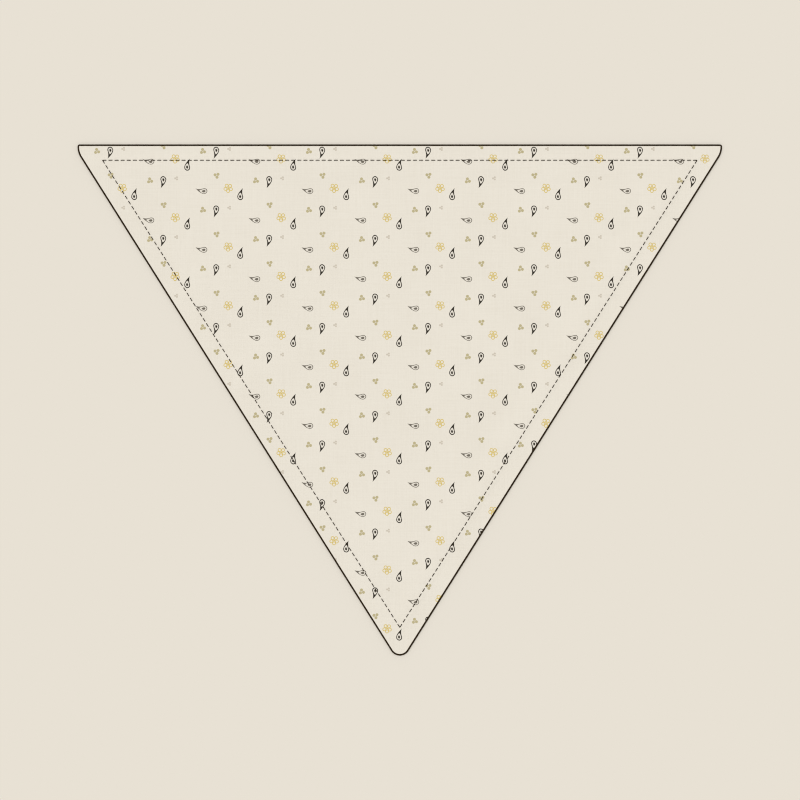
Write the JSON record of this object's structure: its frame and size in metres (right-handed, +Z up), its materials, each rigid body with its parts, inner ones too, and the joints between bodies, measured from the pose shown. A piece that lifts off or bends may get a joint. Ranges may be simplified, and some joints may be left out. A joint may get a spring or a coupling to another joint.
{
  "type": "triangular neckerchief",
  "caption": "Triangular cotton neckerchief laid flat: a front cloth with turned-under mitred hems, a contrast running stitch and a dark whipped thread edging round rounded corners.",
  "frame": {"origin": "on the surface that the cloth lies on, under the middle of the finished outline", "axes": "+X along the long neck edge towards the right tie end, +Y from the lower point towards the neck edge, +Z up out of the printed front"},
  "size_m": [0.56, 0.4442, 0.0026],
  "materials": {
    "cream_cotton": "matt plain-weave cotton with a small scattered print",
    "hem_cotton": "matt plain-weave cotton, turned under",
    "dark_thread": "slightly lustrous dark brown sewing thread"
  },
  "bodies": {
    "root": {"front_cloth": "cream_cotton", "hem_neck": "hem_cotton", "hem_left": "hem_cotton", "hem_right": "hem_cotton", "edging_neck": "dark_thread", "edging_left": "dark_thread", "edging_right": "dark_thread"}
  },
  "joints": []
}
